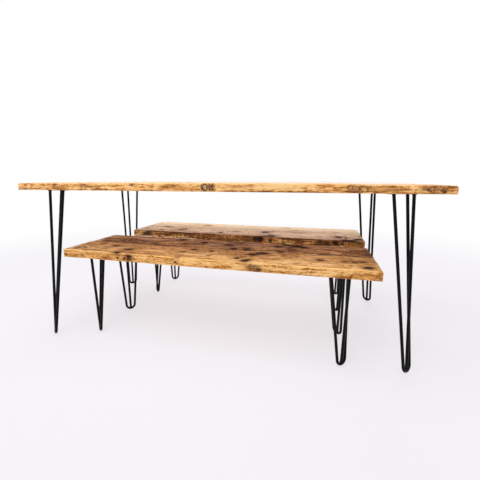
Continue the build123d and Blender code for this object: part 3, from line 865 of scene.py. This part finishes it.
    # knots: the ring shrinks a little below the face, black ones are cracked
    dz, dyv = np.zeros(len(x)), np.zeros(len(x))
    for c, r, dark, side, _ in marks(name, "knots") + marks(name, "eyes"):
        d = np.sqrt(((x - c[0]) / r[0]) ** 2 + ((y - c[1]) / r[1]) ** 2 + ((z - c[2]) / r[2]) ** 2)
        rough = 1 + 0.35 * fractal(seed + 9, x / 7.0, y / 5.0, z / 5.0, octaves=2)
        depth = (0.25 + 1.5 * max(0.0, dark - 0.6)) * rough
        shape = np.clip(1.15 - d, 0, 1) ** 0.8 * depth - 0.22 * np.exp(-(((d - 1.25) / 0.3) ** 2))
        if side == "top":
            dz = np.where(np.abs(shape) > np.abs(dz), shape, dz)
        else:
            dyv = np.where(np.abs(shape) > np.abs(dyv), shape, dyv)
    top_like = on_top & (away > 2.0)
    side_like = (~on_top & ~on_low) & (np.abs(x) < length / 2 - 4)
    z = np.where(top_like, z - np.maximum(dz, -0.2), z)
    toward = np.where(y < (y0 + y1) / 2, 1.0, -1.0)
    outer_side = ((toward > 0) & front) | ((toward < 0) & rear)
    y = np.where(side_like & outer_side, y + toward * np.maximum(dyv, 0.0), y)

    # underside: rougher, with slow saw waves
    saw = 0.25 + 0.25 * np.sin(x / 3.1 + 0.5 * value_noise(seed + 11, x / 30.0, y / 20.0)) * (value_noise(seed + 13, x / 200.0, y / 60.0) > 0)
    z = np.where(on_low & (away > 3), z + saw, z)

    # the long bench planks hang a little between their legs
    z = z - place["bow"] * np.clip(1 - (x / 560.0) ** 2, 0, 1) ** 1.5

    x = np.clip(x, -length / 2, length / 2)
    y = np.clip(y, -width / 2, width / 2)
    # the turned benches' square corners stay within the CAD model's box
    y = y * (1.0 - place.get("trim", 0.0) / (width / 2))
    z = np.clip(z, -place["bow"], thick)
    mesh = bpy.data.meshes.new(name + "_board")
    co = np.stack([x, y, z], -1) * MM
    mesh.vertices.add(len(co))
    mesh.vertices.foreach_set("co", co.astype(np.float32).ravel())
    mesh.loops.add(faces.size)
    mesh.loops.foreach_set("vertex_index", faces.ravel().astype(np.int32))
    mesh.polygons.add(len(faces))
    mesh.polygons.foreach_set("loop_start", np.arange(0, faces.size, 4, dtype=np.int32))
    mesh.polygons.foreach_set("loop_total", np.full(len(faces), 4, np.int32))
    mesh.update()
    mesh.validate()
    mesh.shade_smooth()
    mesh.materials.append(MATERIALS[name])
    o = bpy.data.objects.new(name + "_board", mesh)
    bpy.context.scene.collection.objects.link(o)
    o.matrix_world = placed(body, place["leg"] * MM)
    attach(o, body)
    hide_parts(name)
    return o


SHAPE = {
    "table_plank_front": dict(
        corners={(-1, -1): 3.0, (1, -1): 5.0},
        worn=[(0, 26, 8.0, "left"), (0, 16, 4.0, "right"), (0, 460, 4.5, "left"), (0, 420, 4.5, "right")],
    ),
    "table_plank_rear": dict(corners={(-1, 1): 11.0, (1, 1): 10.0}),
    "front_bench_plank_front": dict(
        arris=4.6, corners={(-1, -1): 2.6, (1, -1): 2.6},
        worn=[(-346, 16, 3.0, "front"), (-402, 20, 2.0, "front")],
    ),
    "front_bench_plank_rear": dict(corners={(-1, 1): 30.0, (1, 1): 12.0}, arris=1.8, worn=[(-650, 100, 12.5, "rear")]),
    "rear_bench_plank_front": dict(
        arris=6.0, low=1.4, corners={(-1, -1): 2.0, (1, -1): 4.0},
        worn=[(547, 22, 4.0, "front"), (610, 26, 6.0, "front"), (655, 20, 4.0, "front"), (130, 24, 3.0, "front"), (-597, 30, 2.0, "front")],
    ),
    "rear_bench_plank_rear": dict(corners={(-1, 1): 56.0, (1, 1): 14.0}),
}
ORDER = {
    "table": ("plank_front", "plank_front_inner", "plank_rear_inner", "plank_rear"),
    "front_bench": ("plank_front", "plank_rear"),
    "rear_bench": ("plank_front", "plank_rear"),
}
for body, names in ORDER.items():
    for index, plank_name in enumerate(names):
        full = f"{body}_{plank_name}"
        plank_mesh(full, body, index, SHAPE.get(full, {}))


# --------------------------------------------------------------------------
# Legs: the CAD bars and plates keep their shape and get their coating, and
# each leg gets its weld beads
# --------------------------------------------------------------------------
for node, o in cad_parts.items():
    if "plank" in node:
        continue
    mat = BEECH if "dowels" in node else ZINC if "screws" in node else COAT
    o.data.materials.clear()
    o.data.materials.append(mat)


def bead(verts, faces, centre, axis, ring, fat, seed, squash=0.75, turns=26, sides=8):
    """A lumpy ring of weld metal round a bar."""
    axis = Vector(axis).normalized()
    side = axis.orthogonal().normalized()
    up = axis.cross(side)
    start = len(verts)
    for a in range(turns):
        t = 2 * math.pi * a / turns
        out = side * math.cos(t) + up * math.sin(t)
        lump = 1 + 0.16 * math.sin(a * 2.9 + seed) + 0.10 * math.sin(a * 1.3 + 2 * seed)
        for b in range(sides):
            w = 2 * math.pi * b / sides
            verts.append(
                Vector(centre)
                + out * (ring + fat * lump * math.cos(w))
                + axis * (fat * squash * lump * math.sin(w))
            )
    for a in range(turns):
        for b in range(sides):
            faces.append(
                (
                    start + a * sides + b,
                    start + (a + 1) % turns * sides + b,
                    start + (a + 1) % turns * sides + (b + 1) % sides,
                    start + a * sides + (b + 1) % sides,
                )
            )


def leg_welds(body, corner, label):
    place = PLACES[body]
    sx, sy = (-1, 1, 1, -1)[corner], (-1, -1, 1, 1)[corner]
    frame_ = Matrix.Translation((sx * place["foot"][0], sy * place["foot"][1], 0)) @ Matrix.Rotation(math.pi / 2 * corner, 4, "Z")
    t, h = place["brace"], place["leg"]
    verts, faces = [], []
    low = h - 3.0
    half = 16.26
    ends = [
        (Vector((t, t, h)), Vector((0, 0, 6.0))),
        (Vector((t + 70, t, h)), Vector((half, -half, 29.0))),
        (Vector((t, t + 70, h)), Vector((-half, half, 29.0))),
    ]
    for i, (top, foot) in enumerate(ends):
        d = (foot - top).normalized()
        at = top + d * ((h - low) / abs(d.z))
        bead(verts, faces, at + Vector((0, 0, -1.0)), (0, 0, 1), 6.9, 1.7, corner * 3 + i + 1.0)
    # round the brace rod where it sits in the crook of the bend
    d = (ends[0][0] - ends[0][1]).normalized()
    bead(verts, faces, ends[0][1] + d * 7.8, d, 5.9, 1.5, corner + 7.0, squash=0.8)
    m = placed(body) @ Matrix.Scale(MM, 4) @ frame_
    mesh = bpy.data.meshes.new(f"{body}_{label}_welds")
    mesh.from_pydata([m @ v for v in verts], [], faces)
    mesh.validate()
    mesh.shade_smooth()
    mesh.materials.append(COAT)
    o = bpy.data.objects.new(mesh.name, mesh)
    bpy.context.scene.collection.objects.link(o)
    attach(o, body)


for body in PLACES:
    for corner, label in enumerate(("front_left", "front_right", "rear_right", "rear_left")):
        leg_welds(body, corner, label)


# --------------------------------------------------------------------------
# Stage: a plain pale floor and soft studio light
# --------------------------------------------------------------------------
def glowing(name, base, glow, near, far, reach=None):
    """A matt surface that also glows, and only glows beyond its reach."""
    n = Net(name)
    p = n.new("ShaderNodeTexCoord").outputs["Object"]
    grain, _ = n.noise(p, scale=3.0, detail=2.0)
    b = n.new("ShaderNodeBsdfPrincipled")
    n.put(b.inputs["Base Color"], n.mix(grain, base, tuple(v * 0.97 for v in base)))
    b.inputs["Roughness"].default_value = 0.8
    b.inputs["Specular IOR Level"].default_value = 0.1
    b.inputs["Emission Color"].default_value = tuple(glow) + (1,)
    b.inputs["Emission Strength"].default_value = near
    e = n.new("ShaderNodeEmission")
    e.inputs["Color"].default_value = (1.0, 0.995, 1.0, 1.0)
    e.inputs["Strength"].default_value = far
    out = n.new("ShaderNodeOutputMaterial")
    if reach is None:
        n.t.links.new(e.outputs[0], out.inputs[0])
        return n.mat
    mixer = n.new("ShaderNodeMixShader")
    n.put(mixer.inputs[0], n.ranged(n.vec("LENGTH", p), reach[0], reach[1], 0.0, 1.0))
    n.t.links.new(b.outputs[0], mixer.inputs[1])
    n.t.links.new(e.outputs[0], mixer.inputs[2])
    n.t.links.new(mixer.outputs[0], out.inputs[0])
    return n.mat


def stage_mesh(name, points, faces, material):
    mesh = bpy.data.meshes.new(name)
    mesh.from_pydata(points, [], faces)
    mesh.materials.append(material)
    mesh.shade_smooth()
    o = bpy.data.objects.new(name, mesh)
    bpy.context.scene.collection.objects.link(o)
    return o


rim = [(18 * math.cos(2 * math.pi * i / 96), 18 * math.sin(2 * math.pi * i / 96), 0.0) for i in range(96)]
stage_mesh(
    "studio_floor", rim, [tuple(range(96))],
    glowing("studio_floor", (0.22, 0.216, 0.225), (0.980, 0.955, 1.0), 0.70, 1.0, (1.5, 3.8)),
)
# a curved white wall behind
arc = [math.radians(a) for a in range(10, 191, 4)]
wall = [(17.5 * math.cos(a), 17.5 * math.sin(a), z) for a in arc for z in (0.0, 13.0)]
stage_mesh(
    "studio_backdrop", wall,
    [(2 * i, 2 * i + 1, 2 * i + 3, 2 * i + 2) for i in range(len(arc) - 1)],
    glowing("studio_backdrop", (0.8, 0.8, 0.8), (1, 1, 1), 1.0, 1.0),
)

world = bpy.data.worlds.new("studio")
bpy.context.scene.world = world
world.use_nodes = True
world.node_tree.nodes["Background"].inputs["Color"].default_value = (1.0, 0.99, 1.0, 1.0)
world.node_tree.nodes["Background"].inputs["Strength"].default_value = 0.18


def softbox(name, at, aim, size, power, colour=(1, 1, 1)):
    light = bpy.data.lights.new(name, "AREA")
    light.shape = "RECTANGLE"
    light.size, light.size_y = size
    light.energy = power
    light.color = colour
    o = bpy.data.objects.new(name, light)
    bpy.context.scene.collection.objects.link(o)
    o.location = at
    o.rotation_euler = (Vector(aim) - Vector(at)).to_track_quat("-Z", "Y").to_euler()
    return o


softbox("overhead", (-0.2, TABLE_Y - 0.42, 3.0), (0.0, TABLE_Y - 0.1, 0.6), (3.2, 1.0), 50.0, (1.0, 0.99, 0.98))
softbox("front_high", (-0.9, -1.95, 2.9), (0.0, -0.3, 0.5), (2.2, 0.9), 38.0)
softbox("left_fill", (-2.1, -3.9, 1.5), (0.0, 0.0, 0.6), (5.2, 2.6), 38.0)
softbox("rear_high", (0.8, 3.1, 3.7), (0.3, 0.3, 0.4), (3.0, 1.3), 70.0)

# --------------------------------------------------------------------------
# Camera
# --------------------------------------------------------------------------
yaw, pitch, roll = 0.1891, -0.2079, -0.0015
turn = (
    Matrix.Rotation(yaw, 3, "Z") @ Matrix.Rotation(pitch, 3, "X") @ Matrix.Rotation(roll, 3, "Y")
)
camera_data = bpy.data.cameras.new("camera")
camera_data.sensor_fit = "HORIZONTAL"
camera_data.sensor_width = 36.0
camera_data.lens = 297.94 / 480.0 * 36.0
camera_data.clip_end = 200.0
camera = bpy.data.objects.new("camera", camera_data)
bpy.context.scene.collection.objects.link(camera)
right, forward, up = turn.col[0], turn.col[1], turn.col[2]
m = Matrix.Identity(4)
for i in range(3):
    m[i][0], m[i][1], m[i][2] = right[i], up[i], -forward[i]
m.translation = Vector((0.3541, -1.5377 + TABLE_Y, 0.7687))
camera.matrix_world = m
bpy.context.scene.camera = camera
bpy.context.scene.view_settings.view_transform = "Standard"
